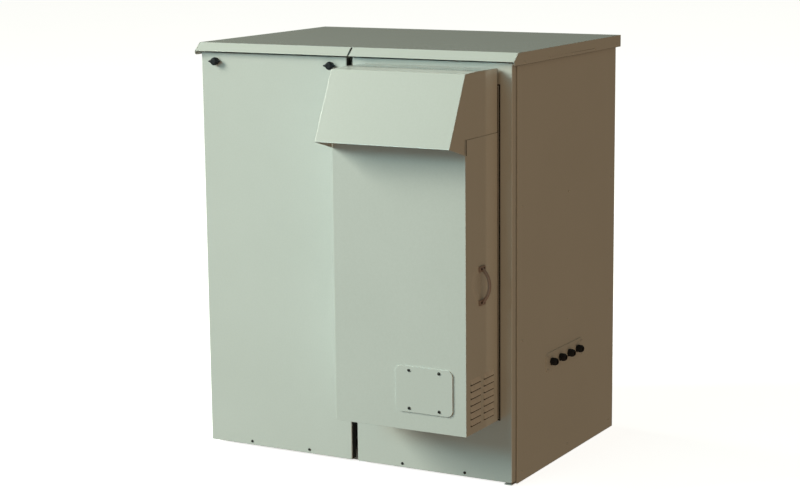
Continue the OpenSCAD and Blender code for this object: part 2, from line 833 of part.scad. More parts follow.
module cover_plate() {
    color(paint)
        difference() {
            translate([plate_x, unit_front, plate_z]) rotate([90, 0, 0])
                linear_extrude(height = plate_t) rounded(plate_w, plate_h, 20);
            for (sx = [-1, 1])
                for (sz = [-1, 1])
                    bar_y([plate_x + sx * plate_screw_x / 2, unit_front - plate_t - 1,
                           plate_z + sz * plate_screw_z / 2], screw_r, plate_t + 2);
        }
}

module cover_plate_screws() {
    color([0.05, 0.05, 0.05])
        for (sx = [-1, 1])
            for (sz = [-1, 1])
                translate([plate_x + sx * plate_screw_x / 2, unit_front - plate_t,
                           plate_z + sz * plate_screw_z / 2])
                    rotate([90, 0, 0]) {
                        cylinder(r = 5, h = 1.6);
                        translate([0, 0, 1.6]) cylinder(r1 = 5, r2 = 3.4, h = 1.2);
                        translate([0, 0, -plate_t - sheet_t]) cylinder(r = 2.5, h = plate_t + sheet_t + 1);
                    }
}

// Round bow on two flat feet
module bow_handle(s) {
    rise = handle_out - handle_bar_d / 2 - 3;
    bow_r = (handle_span * handle_span / 4 + rise * rise) / (2 * rise);
    half_a = asin(handle_span / 2 / bow_r);
    x = s > 0 ? unit_x1 : unit_x0;
    color(paint)
        translate([x, unit_mid_y - handle_forward, handle_z]) {
            for (sz = [-1, 1])
                difference() {
                    box([0, -foot_w / 2, sz * handle_span / 2 - foot_h / 2],
                        [s * foot_t, foot_w / 2, sz * handle_span / 2 + foot_h / 2]);
                    for (sy = [-1, 1])
                        bar_x([-10, sy * foot_screw, sz * handle_span / 2], 2.1, 20);
                }
            difference() {
                translate([s * (rise - bow_r + 3), 0, 0]) rotate([90, 0, 0])
                    rotate([0, 0, s > 0 ? -half_a : 180 - half_a])
                        rotate_extrude(angle = 2 * half_a) translate([bow_r, 0]) circle(d = handle_bar_d);
                box([0, -20, -handle_span], [-s * 20, 20, handle_span]);
            }
        }
}

module handle_left() { bow_handle(-1); }

module handle_right() { bow_handle(1); }

module handle_screws() {
    color([0.3, 0.3, 0.28])
        for (s = [-1, 1])
            for (sz = [-1, 1])
                for (sy = [-1, 1])
                    translate([(s > 0 ? unit_x1 : unit_x0) + s * foot_t, unit_mid_y - handle_forward + sy * foot_screw,
                               handle_z + sz * handle_span / 2])
                        rotate([0, s * 90, 0]) {
                            cylinder(r1 = 3.6, r2 = 2.6, h = 1.8);
                            translate([0, 0, -foot_t]) cylinder(r = 2, h = foot_t + 0.5);
                        }
}

// Stack of plates between two end walls
module exchanger_core() {
    z0 = lower_air_z + fan_frame / 2 + 65;
    z1 = outlet_z - fan_frame / 2 - 48;
    x0 = unit_x0 + sheet_t;
    x1 = unit_x1 - sheet_t;
    y0 = unit_front + 16;
    y1 = unit_back - 16;
    n = 22;
    pitch = (x1 - x0 - 1) / n;
    color([0.7, 0.72, 0.74])
        difference() {
            box([x0, y0, z0], [x1, y1, z1]);
            for (i = [0 : n - 1])
                box([x0 + 1 + i * pitch, y0 - 1, z0 + 1.5], [x0 + i * pitch + pitch, y1 - 1, z1 - 1.5]);
        }
}

// Square frame with round duct, cross arms and a pin for the impeller.
// y0 is the face against the panel, s the direction it extends.
module fan_frame_shape(y0, s, z) {
    ya = s > 0 ? y0 : y0 - fan_frame_t;
    arm_y = s > 0 ? y0 + fan_frame_t - 4 : y0 - fan_frame_t;
    difference() {
        box([unit_mid - fan_frame / 2, ya, z - fan_frame / 2],
            [unit_mid + fan_frame / 2, ya + fan_frame_t, z + fan_frame / 2]);
        bar_y([unit_mid, ya - 1, z], fan_d / 2 + 2, fan_frame_t + 2);
    }
    box([unit_mid - fan_d / 2 - 4, arm_y, z - 4], [unit_mid + fan_d / 2 + 4, arm_y + 4, z + 4]);
    box([unit_mid - 4, arm_y, z - fan_d / 2 - 4], [unit_mid + 4, arm_y + 4, z + fan_d / 2 + 4]);
    bar_y([unit_mid, arm_y, z], hub_r - 4, 4);
    bar_y([unit_mid, s > 0 ? arm_y - 22 : arm_y, z], fan_pin_r, 26);
}

module fan_shape(y0, s, z) {
    yc = s > 0 ? y0 + 8 : y0 - 32;
    translate([unit_mid, yc, z]) rotate([-90, 0, 0])
        difference() {
            union() {
                cylinder(r = hub_r, h = 24);
                for (i = [0 : fan_blades - 1])
                    rotate([0, 0, i * 360 / fan_blades])
                        translate([hub_r - 2, 0, 12]) rotate([32, 0, 0])
                            translate([0, -14, -1]) cube([fan_d / 2 - hub_r - 2, 28, 2]);
            }
            translate([0, 0, -1]) cylinder(r = fan_pin_r + run_gap, h = 26);
        }
}

module outside_fan_frame() { color([0.12, 0.12, 0.12]) fan_frame_shape(unit_front + sheet_t, 1, outlet_z); }

module outside_fan() { color([0.16, 0.16, 0.17]) fan_shape(unit_front + sheet_t, 1, outlet_z); }

module inside_fan_frame() { color([0.12, 0.12, 0.12]) fan_frame_shape(door_front, -1, lower_air_z); }

module inside_fan() { color([0.16, 0.16, 0.17]) fan_shape(door_front, -1, lower_air_z); }

base_rails();
floor_plate();
corner_posts();
mullion();
top_rails();
ceiling_panel();
side_panel_left();
side_panel_right();
rear_panel();
roof_cover();
roof_rails();
roof_supports();
fascia_left();
fascia_right();
seal_left();
seal_right();
rack_rails();
gland_plate();
cable_glands();
gland_nuts();
gland_plate_screws();
panel_screws();
roof_screws();
earth_bar();
earth_spacers();
pivot_brackets();
left_cover();
cover_spigots();
knob_left();
knob_right();
right_door();
pivot_bushes();
door_screws();
unit_gasket();
unit_casing();
hood_cover();
hood_strips();
outlet_guard();
cover_plate();
cover_plate_screws();
handle_left();
handle_right();
handle_screws();
exchanger_core();
outside_fan_frame();
outside_fan();
inside_fan_frame();
inside_fan();
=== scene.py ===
import json
import math

import bmesh
import bpy
from mathutils import Matrix, Vector

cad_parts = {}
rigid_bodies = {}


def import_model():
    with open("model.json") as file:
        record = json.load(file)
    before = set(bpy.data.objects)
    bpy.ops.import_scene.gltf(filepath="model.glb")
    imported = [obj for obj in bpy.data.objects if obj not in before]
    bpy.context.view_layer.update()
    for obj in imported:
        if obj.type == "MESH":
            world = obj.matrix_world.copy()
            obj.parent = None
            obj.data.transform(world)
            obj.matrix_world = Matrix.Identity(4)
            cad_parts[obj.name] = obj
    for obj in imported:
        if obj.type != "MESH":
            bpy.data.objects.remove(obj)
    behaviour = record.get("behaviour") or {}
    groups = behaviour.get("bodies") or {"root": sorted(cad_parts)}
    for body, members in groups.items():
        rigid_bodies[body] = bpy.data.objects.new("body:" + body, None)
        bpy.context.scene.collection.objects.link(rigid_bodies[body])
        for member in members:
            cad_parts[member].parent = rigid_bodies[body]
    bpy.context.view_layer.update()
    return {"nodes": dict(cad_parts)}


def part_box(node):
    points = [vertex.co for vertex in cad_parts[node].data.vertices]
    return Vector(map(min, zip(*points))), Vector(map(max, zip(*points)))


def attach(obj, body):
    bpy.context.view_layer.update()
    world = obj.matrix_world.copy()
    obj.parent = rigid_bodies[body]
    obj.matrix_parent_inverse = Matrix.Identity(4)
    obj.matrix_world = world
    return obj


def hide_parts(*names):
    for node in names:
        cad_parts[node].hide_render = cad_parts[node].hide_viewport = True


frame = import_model()
nodes = frame["nodes"]

MM = 0.001
CM2 = 0.0001
WELD = 1e-5                             # corners this close are one corner
FINE_WELD = 1e-6
scene = bpy.context.scene


# ---------------------------------------------------------------- materials

def new_material(name):
    material = bpy.data.materials.new(name)
    material.use_nodes = True
    tree = material.node_tree
    tree.nodes.clear()
    out = tree.nodes.new("ShaderNodeOutputMaterial")
    shader = tree.nodes.new("ShaderNodeBsdfPrincipled")
    tree.links.new(shader.outputs["BSDF"], out.inputs["Surface"])
    return material, tree, shader


def noise(tree, coords, scale, detail=3.0, roughness=0.55):
    node = tree.nodes.new("ShaderNodeTexNoise")
    node.inputs["Scale"].default_value = scale
    node.inputs["Detail"].default_value = detail
    node.inputs["Roughness"].default_value = roughness
    tree.links.new(coords, node.inputs["Vector"])
    return node.outputs["Fac"]


def spread(tree, value, low, high, in_low=0.25, in_high=0.75):
    """value from in_low..in_high to low..high."""
    node = tree.nodes.new("ShaderNodeMapRange")
    node.inputs["From Min"].default_value = in_low
    node.inputs["From Max"].default_value = in_high
    node.inputs["To Min"].default_value = low
    node.inputs["To Max"].default_value = high
    tree.links.new(value, node.inputs["Value"])
    return node.outputs["Result"]


def math_node(tree, operation, a, b):
    node = tree.nodes.new("ShaderNodeMath")
    node.operation = operation
    for socket, value in zip(node.inputs, (a, b)):
        if isinstance(value, (int, float)):
            socket.default_value = value
        else:
            tree.links.new(value, socket)
    return node.outputs[0]


def mix_colour(tree, factor, a, b):
    node = tree.nodes.new("ShaderNodeMix")
    node.data_type = "RGBA"
    for name, value in (("Factor", factor), ("A", a), ("B", b)):
        socket = [s for s in node.inputs if s.name == name and s.enabled][0]
        if isinstance(value, tuple):
            socket.default_value = (*value, 1.0)
        elif isinstance(value, (int, float)):
            socket.default_value = value
        else:
            tree.links.new(value, socket)
    return [s for s in node.outputs if s.enabled][0]


def object_coords(tree):
    """Metres in the piece's own frame."""
    return tree.nodes.new("ShaderNodeTexCoord").outputs["Object"]


def bump(tree, height, strength, distance, after=None):
    node = tree.nodes.new("ShaderNodeBump")
    node.inputs["Strength"].default_value = strength
    node.inputs["Distance"].default_value = distance
    tree.links.new(height, node.inputs["Height"])
    if after is not None:
        tree.links.new(after, node.inputs["Normal"])
    return node.outputs["Normal"]


def edges_mask(tree, low=0.52, high=0.60):
    """1 on rounded outer edges, 0 on flats, where the colour turns paler: partly edge wear, partly a painted
    highlight.
    """
    geometry = tree.nodes.new("ShaderNodeNewGeometry")
    broad = tree.nodes.new("ShaderNodeAttribute")
    broad.attribute_name = "broad_face"
    sharp_edge = spread(tree, geometry.outputs["Pointiness"], 0.0, 1.0, low, high)
    return math_node(tree, "MULTIPLY", sharp_edge, spread(tree, broad.outputs["Fac"], 1.0, 0.0, 0.0, 1.0))


def powder_coat(name, base, shade, edge_wear_and_highlight, roughness=0.09, grain=170.0):
    """Fine semi-gloss powder coat: mottled colour, orange peel, and paler colour on edges that is partly edge
    wear and partly a painted highlight.
    """
    material, tree, shader = new_material(name)
    coords = object_coords(tree)
    cloud = noise(tree, coords, 2.6, 4.0)
    mottle = noise(tree, coords, grain, 2.0, 0.6)
    grit = noise(tree, coords, grain * 3.4, 2.0, 0.6)
    tone = math_node(tree, "ADD", spread(tree, cloud, 0.0, 0.5), spread(tree, mottle, 0.0, 0.5))
    colour = mix_colour(tree, tone, base, shade)
    # Edges turn paler: partly edge wear, partly a painted highlight along the rounded edges.
    paler_edge = math_node(tree, "MULTIPLY", edges_mask(tree), spread(tree, mottle, 0.1, 0.65))
    colour = mix_colour(tree, paler_edge, colour, edge_wear_and_highlight)
    tree.links.new(colour, shader.inputs["Base Color"])
    rough = spread(tree, mottle, roughness - 0.02, roughness + 0.03)
    rough = math_node(tree, "ADD", rough, spread(tree, cloud, -0.015, 0.02))
    tree.links.new(rough, shader.inputs["Roughness"])
    shader.inputs["IOR"].default_value = 1.9
    peel = bump(tree, mottle, 0.03, 0.0003)
    peel = bump(tree, grit, 0.03, 0.0001, peel)
    tree.links.new(peel, shader.inputs["Normal"])
    return material


def plastic(name, base, shade, roughness, grain=900.0, strength=0.15, shine=0.5):
    """Moulded plastic or rubber with a fine spark-eroded grain."""
    material, tree, shader = new_material(name)
    coords = object_coords(tree)
    grit = noise(tree, coords, grain, 2.0, 0.6)
    cloud = noise(tree, coords, 25.0, 3.0)
    tone = math_node(tree, "ADD", spread(tree, cloud, 0.0, 0.6), spread(tree, grit, 0.0, 0.4))
    colour = mix_colour(tree, tone, base, shade)
    # Edges turn paler: partly wear, partly a painted highlight along the rounded edges.
    paler_edge = math_node(tree, "MULTIPLY", edges_mask(tree), spread(tree, cloud, 0.0, 0.5))
    colour = mix_colour(tree, paler_edge, colour, tuple(min(1.0, c * 2.2 + 0.01) for c in shade))
    tree.links.new(colour, shader.inputs["Base Color"])
    tree.links.new(spread(tree, grit, roughness - 0.05, roughness + 0.08), shader.inputs["Roughness"])
    tree.links.new(bump(tree, grit, strength, 0.0002), shader.inputs["Normal"])
    shader.inputs["Specular IOR Level"].default_value = shine
    return material


def metal(name, base, shade, roughness, stretch=(1.0, 1.0, 1.0), grain=260.0, metallic=1.0):
    """Drawn, plated or oxidised metal with fine lines along its short-scaled axis."""
    material, tree, shader = new_material(name)
    mapping = tree.nodes.new("ShaderNodeMapping")
    mapping.inputs["Scale"].default_value = stretch
    tree.links.new(object_coords(tree), mapping.inputs["Vector"])
    lines = noise(tree, mapping.outputs["Vector"], grain, 4.0, 0.6)
    cloud = noise(tree, object_coords(tree), 18.0, 4.0)
    tone = math_node(tree, "ADD", spread(tree, cloud, 0.0, 0.6), spread(tree, lines, 0.0, 0.4))
    colour = mix_colour(tree, tone, base, shade)
    # Edges turn paler: partly wear, partly a painted highlight along the rounded edges.
    paler_edge = math_node(tree, "MULTIPLY", edges_mask(tree), 0.5)
    colour = mix_colour(tree, paler_edge, colour, tuple(min(1.0, c * 1.5 + 0.03) for c in base))
    tree.links.new(colour, shader.inputs["Base Color"])
    shader.inputs["Metallic"].default_value = metallic
    rough = spread(tree, lines, roughness - 0.06, roughness + 0.1)
    rough = math_node(tree, "ADD", rough, spread(tree, cloud, -0.03, 0.06))
    tree.links.new(rough, shader.inputs["Roughness"])
    tree.links.new(bump(tree, lines, 0.12, 0.0002), shader.inputs["Normal"])
    return material


LOOKS = {
    "cream_paint": powder_coat(
        "cream_powder_coat", (0.59, 0.62, 0.60), (0.54, 0.57, 0.545), (0.70, 0.74, 0.70)),
    "grey_frame_paint": powder_coat(
        "grey_frame_coat", (0.36, 0.37, 0.36), (0.31, 0.32, 0.31), (0.5, 0.5, 0.48), roughness=0.36),
    "grip_paint": powder_coat(
        "handle_grip_coat", (0.31, 0.25, 0.235), (0.26, 0.205, 0.19), (0.46, 0.42, 0.39), roughness=0.30),
    # Paler than the wall's paint: a painted highlight for the light that the upward-tilted louvre faces
    # catch.
    "louvre_painted_highlight": powder_coat(
        "pressed_louvre_coat", (0.76, 0.75, 0.71), (0.60, 0.60, 0.565), (0.82, 0.82, 0.78),
        roughness=0.12, grain=90.0),
    "black_rubber": plastic(
        "black_epdm_rubber", (0.011, 0.010, 0.009), (0.017, 0.016, 0.015), 0.66, grain=500.0, strength=0.3,
        shine=0.2),
    "black_plastic": plastic(
        "black_moulded_plastic", (0.007, 0.009, 0.012), (0.014, 0.016, 0.020), 0.5, shine=0.22),
    "red_insulator": plastic(
        "red_moulded_insulator", (0.35, 0.03, 0.02), (0.28, 0.022, 0.016), 0.4),
    "plated_steel": metal(
        "zinc_plated_steel", (0.62, 0.62, 0.60), (0.46, 0.47, 0.47), 0.30),
    "blackened_steel": metal(
        "blackened_steel", (0.05, 0.048, 0.045), (0.03, 0.03, 0.03), 0.38, metallic=0.75),
    "brass_bar": metal(
        "drawn_brass", (0.72, 0.52, 0.22), (0.55, 0.38, 0.15), 0.26, stretch=(0.06, 1.0, 1.0)),
    "bare_aluminium": metal(
        "bare_aluminium", (0.72, 0.73, 0.74), (0.58, 0.59, 0.60), 0.32, stretch=(1.0, 1.0, 0.05)),
}


# ------------------------------------------------------------ sheet and frame

BEVEL_SEGMENTS = 3
BEVEL_SHARE = 0.28                      # of the narrower face beside an edge
INNER_SHARE = 0.45                      # of an outer fold's rounding, for an inner fold
LEAST_BEVEL = 0.12 * MM                 # a smaller rounding stays a sharp edge
LEAST_TURN = math.radians(22.0)         # a shallower edge is part of a curve
BROAD_AREA = 10.0 * CM2
BROAD_WIDTH = 8.0 * MM


def room_beside(face, edge):
    """How far the face reaches away from the edge, in its own plane."""
    along = (edge.verts[1].co - edge.verts[0].co).normalized()
    across = face.normal.cross(along)
    reach = [vert.co.dot(across) for vert in face.verts]
    return max(reach) - min(reach)


def add_object(name, mesh):
    obj = bpy.data.objects.new(name, mesh)
    scene.collection.objects.link(obj)
    return obj


def add_rounding(obj, bevel_width):
    """Rounds the weighted edges and keeps the flats beside them evenly shaded."""
    for polygon in obj.data.polygons:
        polygon.use_smooth = True
    bevel = obj.modifiers.new("rounding", "BEVEL")
    bevel.limit_method = "WEIGHT"
    bevel.width = bevel_width
    bevel.segments = BEVEL_SEGMENTS
    bevel.use_clamp_overlap = False
    bevel.face_strength_mode = "FSTR_ALL"
    bevel.miter_outer = "MITER_SHARP"
    normals = obj.modifiers.new("flat_faces", "WEIGHTED_NORMAL")
    normals.mode = "FACE_AREA"
    normals.weight = 60
    normals.keep_sharp = True
    normals.use_face_influence = True


def rounded_copy(node, fold, look=None, shape=None):
    """A fresh mesh for a CAD node, with its edges rounded: folds by up to fold, thin rims by less."""
    source = nodes[node]
    bm = bmesh.new()
    bm.from_mesh(source.data)
    bmesh.ops.remove_doubles(bm, verts=bm.verts[:], dist=WELD)
    bmesh.ops.dissolve_limit(bm, angle_limit=math.radians(0.2), verts=bm.verts[:], edges=bm.edges[:])
    if shape:
        shape(bm)
    weight = bm.edges.layers.float.new("bevel_weight_edge")
    for edge in bm.edges:
        if len(edge.link_faces) != 2:
            continue
        turn = edge.calc_face_angle_signed(0.0)
        if abs(turn) < LEAST_TURN:
            continue
        limit = fold if turn > 0 else fold * INNER_SHARE
        room = min(room_beside(face, edge) for face in edge.link_faces)
        width = min(limit, room * BEVEL_SHARE)
        if width < LEAST_BEVEL:
            edge.smooth = False
        else:
            edge[weight] = width / fold
    mesh = bpy.data.meshes.new(node + "_form")
    bm.to_mesh(mesh)
    bm.free()
    obj = add_object(node + "_form", mesh)
    slot_name = source.data.materials[0].name
    mesh.materials.append(LOOKS[look or slot_name])
    add_rounding(obj, fold)
    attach(obj, frame_body(node))
    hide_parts(node)
    return obj


def frame_body(node):
    """The body that a CAD node belongs to."""
    return nodes[node].parent.name.split(":", 1)[1]


# How far the outer edges of each piece are rounded, in millimetres.
FOLDS = {
    "side_panel_left": 2.0, "side_panel_right": 2.0, "rear_panel": 2.0, "roof_cover": 2.5,
    "fascia_left": 1.6, "fascia_right": 1.6, "left_cover": 2.6, "right_door": 2.6,
    "unit_casing": 2.4, "hood_cover": 1.8, "cover_plate": 0.7, "gland_plate": 0.8,
    "ceiling_panel": 1.0,
    "base_rails": 3.0, "corner_posts": 2.5, "mullion": 2.5, "top_rails": 2.5, "roof_rails": 1.5,
    "roof_supports": 1.5, "floor_plate": 1.2, "rack_rails": 1.4, "earth_bar": 0.8,
    "seal_left": 2.5, "seal_right": 2.5, "hood_strips": 0.5,
    "pivot_brackets": 1.2, "pivot_bushes": 0.6, "outlet_guard": 0.8, "exchanger_core": 0.8,
    "outside_fan_frame": 2.0, "inside_fan_frame": 2.0, "outside_fan": 1.0, "inside_fan": 1.0,
    "earth_spacers": 1.0, "gland_nuts": 1.0, "handle_left": 1.0, "handle_right": 1.0,
}


CREASE_BACK = 89.0 * MM
CREASE_HALF = 2.5 * MM
CREASE_RISE = 2.0 * MM


def crown_hood(bm):
    """A shallow crease crosses the hood's top, behind its front fold."""
    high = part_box("hood_cover")[1]
    fold_y = min(v.co.y for v in bm.verts if v.co.z > high[2] - 0.3 * MM)
    crease = fold_y + CREASE_BACK
    for cut in (crease - CREASE_HALF, crease + CREASE_HALF):
        geometry = bm.verts[:] + bm.edges[:] + bm.faces[:]
        bmesh.ops.bisect_plane(bm, geom=geometry, plane_co=(0.0, cut, 0.0), plane_no=(0.0, 1.0, 0.0),
                               dist=FINE_WELD)
    for vert in bm.verts:
        if abs(vert.co.y - crease) < CREASE_HALF + 0.1 * MM and vert.co.z > high[2] - 3.0 * MM:
            vert.co.z += CREASE_RISE


SHAPES = {"hood_cover": crown_hood}
OTHER_LOOKS = {"handle_left": "grip_paint", "handle_right": "grip_paint"}
forms = {}
for node, fold in FOLDS.items():
    forms[node] = rounded_copy(node, fold * MM, look=OTHER_LOOKS.get(node), shape=SHAPES.get(node))


def even_normals(mesh):
    """Broad flat faces are marked and shaded flat, so that neither light nor the paler edge colour (edge wear
    and painted highlight) bleeds over them.
    """
    normals = [corner.vector.copy() for corner in mesh.corner_normals]
    broad = mesh.attributes.new("broad_face", "FLOAT", "CORNER")
    for polygon in mesh.polygons:
        points = [mesh.vertices[i].co for i in polygon.vertices]
        longest = max((points[i] - points[i - 1]).length for i in range(len(points)))
        if polygon.area > BROAD_AREA and polygon.area / longest > BROAD_WIDTH:
            for corner in polygon.loop_indices:
                normals[corner] = polygon.normal.copy()
                broad.data[corner].value = 1.0
    mesh.normals_split_custom_set(normals)


def settle(forms):
    """Turns the roundings into plain mesh. Pieces that SHAPES leaves alone stay in their own CAD boxes."""
    graph = bpy.context.evaluated_depsgraph_get()
    settled = {}
    for node, obj in forms.items():
        settled[node] = bpy.data.meshes.new_from_object(
            obj.evaluated_get(graph), preserve_all_data_layers=True, depsgraph=graph)
    for node, mesh in settled.items():
        low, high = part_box(node)
        if node not in SHAPES:
            for vert in mesh.vertices:
                vert.co = [min(max(vert.co[i], low[i]), high[i]) for i in range(3)]
        even_normals(mesh)
        forms[node].modifiers.clear()
        forms[node].data = mesh


settle(forms)


# ------------------------------------------------------------ turned details

def islands(node):
    """The separate solids of a CAD node, each as a list of points."""
    bm = bmesh.new()
    bm.from_mesh(nodes[node].data)
    bmesh.ops.remove_doubles(bm, verts=bm.verts[:], dist=WELD)
    left = set(bm.verts)
    found = []
    while left:
        group, todo = set(), [next(iter(left))]
        while todo:
            vert = todo.pop()
            if vert in group:
                continue
            group.add(vert)
            todo.extend(edge.other_vert(vert) for edge in vert.link_edges)
        left -= group
        found.append([vert.co.copy() for vert in group])
    bm.free()
    return sorted(found, key=lambda points: tuple(round(min(p[i] for p in points), 4) for i in range(3)))


def span(points):
    """The lowest and highest corner of the box round the points."""
    low = Vector([min(p[i] for p in points) for i in range(3)])
    high = Vector([max(p[i] for p in points) for i in range(3)])
    return low, high


def turned_frame(points):
    """A headed round solid: axis number, centre, outward sign, head radius, head base, head top, tail."""
    low, high = span(points)
    size = high - low
    axis = min(range(3), key=lambda i: abs(size[(i + 1) % 3] - size[(i + 2) % 3]))
    centre = (low + high) / 2
    first, second = [i for i in range(3) if i != axis]

    def off_axis(point):
        return math.hypot(point[first] - centre[first], point[second] - centre[second])

    far = max(off_axis(point) for point in points)
    head = [point[axis] for point in points if off_axis(point) > 0.9 * far]
    sign = 1 if sum(head) / len(head) > centre[axis] else -1
    base = min(head) if sign > 0 else max(head)
    top = high[axis] if sign > 0 else low[axis]
    tail = low[axis] if sign > 0 else high[axis]
    return axis, centre, sign, far, base, top, tail


def ring_of(count, reach):
    """A ring of points, each as far from the middle as reach says for its angle."""
    angles = [2 * math.pi * i / count for i in range(count)]
    return [(reach(angle) * math.cos(angle), reach(angle) * math.sin(angle)) for angle in angles]


def round_ring(count, radius):
    return ring_of(count, lambda angle: radius)


def polygon_ring(count, radius, sides):
    """A ring of points on a regular polygon whose corners lie at radius."""
    step = 2 * math.pi / sides
    return ring_of(count, lambda angle: radius * math.cos(step / 2) / math.cos(angle % step - step / 2))


def fluted_ring(count, radius, depth, flutes):
    """A round ring with shallow hollows cut into it."""
    return ring_of(count, lambda angle: radius - depth * max(0.0, math.cos(flutes * angle)) ** 2)


def loft(bm, rings, place, close_start=True, close_end=True):
    """Skins rings of (ring points, height) and maps every (x, y, height) through place."""
    rows = [[bm.verts.new(place(x, y, height)) for x, y in ring] for ring, height in rings]
    count = len(rows[0])
    for below, above in zip(rows, rows[1:]):
        for i in range(count):
            j = (i + 1) % count
            bm.faces.new((below[i], below[j], above[j], above[i]))
    if close_start:
        bm.faces.new(rows[0][::-1])
    if close_end:
        bm.faces.new(rows[-1])


def along(axis, centre, sign, origin):
    """Maps (x, y, height) to the row frame: height runs out along the axis from origin."""
    first, second = [i for i in range(3) if i != axis]

    def place(x, y, height):
        spot = [0.0, 0.0, 0.0]
        spot[first] = centre[first] + x
        spot[second] = centre[second] + y
        spot[axis] = origin + sign * height
        return spot

    return place


def make_piece(name, bm, look, body, smooth_angle=35.0):
    """A finished piece from bm. Edges that turn more than smooth_angle degrees stay sharp."""
    bmesh.ops.recalc_face_normals(bm, faces=bm.faces[:])
    for face in bm.faces:
        face.smooth = True
    for edge in bm.edges:
        if len(edge.link_faces) == 2 and edge.calc_face_angle(0.0) > math.radians(smooth_angle):
            edge.smooth = False
    mesh = bpy.data.meshes.new(name)
    bm.to_mesh(mesh)
    bm.free()
    mesh.materials.append(LOOKS[look])
    obj = add_object(name, mesh)
    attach(obj, body)
    return obj


HEAD_POINTS = 24


def screws(node, look):
    """Low domed heads with a hexagon socket, each on its plain shank where it has one."""
    bm = bmesh.new()
    for points in islands(node):
        axis, centre, sign, radius, base, top, tail = turned_frame(points)
        tall = abs(top - base)
        deep = abs(base - tail)
        shank = radius * 0.5
        socket = radius * 0.46
        edge = min(0.35 * MM, tall * 0.2)
        dome = [(radius - edge, 0.0), (radius, edge), (radius, tall * 0.42), (radius * 0.95, tall * 0.66),
                (radius * 0.82, tall * 0.87), (radius * 0.66, tall)]
        if deep > WELD:
            dome = [(shank, -deep), (shank, 0.0)] + dome
        rings = [(round_ring(HEAD_POINTS, reach), height) for reach, height in dome]
        rings += [(polygon_ring(HEAD_POINTS, reach, 6), height) for reach, height in (
            (socket + edge * 0.5, tall), (socket, tall - edge * 0.5), (socket, tall * 0.35))]
        rings.append((round_ring(HEAD_POINTS, socket * 0.25), tall * 0.2))
        loft(bm, rings, along(axis, centre, sign, base))
    piece = make_piece(node + "_heads", bm, look, frame_body(node))
    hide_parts(node)


screws("panel_screws", "cream_paint")
screws("roof_screws", "cream_paint")
screws("door_screws", "blackened_steel")
screws("cover_spigots", "blackened_steel")
screws("gland_plate_screws", "plated_steel")
screws("cover_plate_screws", "blackened_steel")
screws("handle_screws", "blackened_steel")


KNOB_POINTS = 96
KNOB_BOSS = 13.0 * MM
KNOB_STUD = 4.0 * MM
BOSS_ROUNDNESS = 1.6                    # 1 is a diamond, 2 is a circle


def winged_ring(core, reach, narrowness):
    """A softened diamond of radius core, with a pointed wing out to reach on either side."""
    def radius(angle):
        across, up = abs(math.cos(angle)), abs(math.sin(angle))
        round_part = core / (across ** BOSS_ROUNDNESS + up ** BOSS_ROUNDNESS) ** (1 / BOSS_ROUNDNESS)
        return round_part + max(0.0, reach - core) * across ** narrowness

    return ring_of(KNOB_POINTS, radius)


def wing_knob(node):
    """A moulded wing knob: stud, round foot, tall boss and two narrow tapered wings."""
    low, high = (Vector(corner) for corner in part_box(node))
    boss, wing = KNOB_BOSS, (high.x - low.x) / 2
    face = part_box("left_cover")[0][1]
    rise = face - low.y
    foot = [(KNOB_STUD, face - high.y), (KNOB_STUD, 0.0), (boss - 1.6 * MM, 0.0), (boss - 1.0 * MM, 0.6 * MM),
            (boss - 1.0 * MM, 2.6 * MM), (boss - 2.2 * MM, 3.4 * MM)]
    wings = [(boss * 0.94, boss * 0.96, 20, 4.6 * MM), (boss, wing * 0.66, 24, 5.8 * MM),
             (boss * 1.05, wing * 0.92, 28, 7.2 * MM), (boss * 1.06, wing, 34, 9.0 * MM),
             (boss * 1.06, wing * 0.995, 34, rise * 0.66), (boss * 1.04, wing * 0.95, 34, rise * 0.76),
             (boss * 1.01, wing * 0.82, 30, rise * 0.84), (boss * 0.96, boss * 1.03, 20, rise * 0.90)]
    cap = [(boss * 0.85, rise * 0.955), (boss * 0.74, rise * 0.99), (boss * 0.62, rise), (boss * 0.42, rise),
           (boss * 0.39, rise - 0.5 * MM), (boss * 0.10, rise - 0.5 * MM)]
    rings = [(round_ring(KNOB_POINTS, reach), height) for reach, height in foot]
    rings += [(winged_ring(core, reach, narrowness), height) for core, reach, narrowness, height in wings]
    rings += [(round_ring(KNOB_POINTS, reach), height) for reach, height in cap]
    bm = bmesh.new()
    loft(bm, rings, along(1, (low + high) / 2, -1, face))
    piece = make_piece(node + "_moulded", bm, "black_plastic", frame_body(node), smooth_angle=50.0)
    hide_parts(node)


wing_knob("knob_left")
wing_knob("knob_right")


GLAND_POINTS = 96
GLAND_BORE = 6.0 * MM
GLAND_SHANK = 9.9 * MM
SEAL_POINTS = 48
FLUTES = 12


def gland_rings(cap, stand, inner):
    """Shank through the wall, hexagon body and fluted dome nut, round an open bore."""
    def plain(reach, height):
        return round_ring(GLAND_POINTS, reach), height

    def hexagon(reach, height):
        return polygon_ring(GLAND_POINTS, reach, 6), height

    def fluted(reach, depth, height):
        return fluted_ring(GLAND_POINTS, reach, depth, FLUTES), height

    return [
        plain(GLAND_BORE, inner), plain(GLAND_SHANK, inner), plain(GLAND_SHANK, 0.0),
        hexagon(cap - 0.5 * MM, 0.0), hexagon(cap, 0.6 * MM), hexagon(cap, stand * 0.20),
        plain(cap * 0.86, stand * 0.25), plain(cap * 0.86, stand * 0.29),
        fluted(cap * 0.97, 0.9 * MM, stand * 0.31), fluted(cap * 0.97, 1.0 * MM, stand * 0.52),
        fluted(cap * 0.93, 0.9 * MM, stand * 0.68), fluted(cap * 0.84, 0.5 * MM, stand * 0.83),
        plain(cap * 0.70, stand * 0.94), plain(cap * 0.60, stand), plain(cap * 0.545, stand - 0.2 * MM),
        plain(cap * 0.53, stand - 2.2 * MM), plain(GLAND_BORE, stand - 2.4 * MM), plain(GLAND_BORE, inner),
    ]


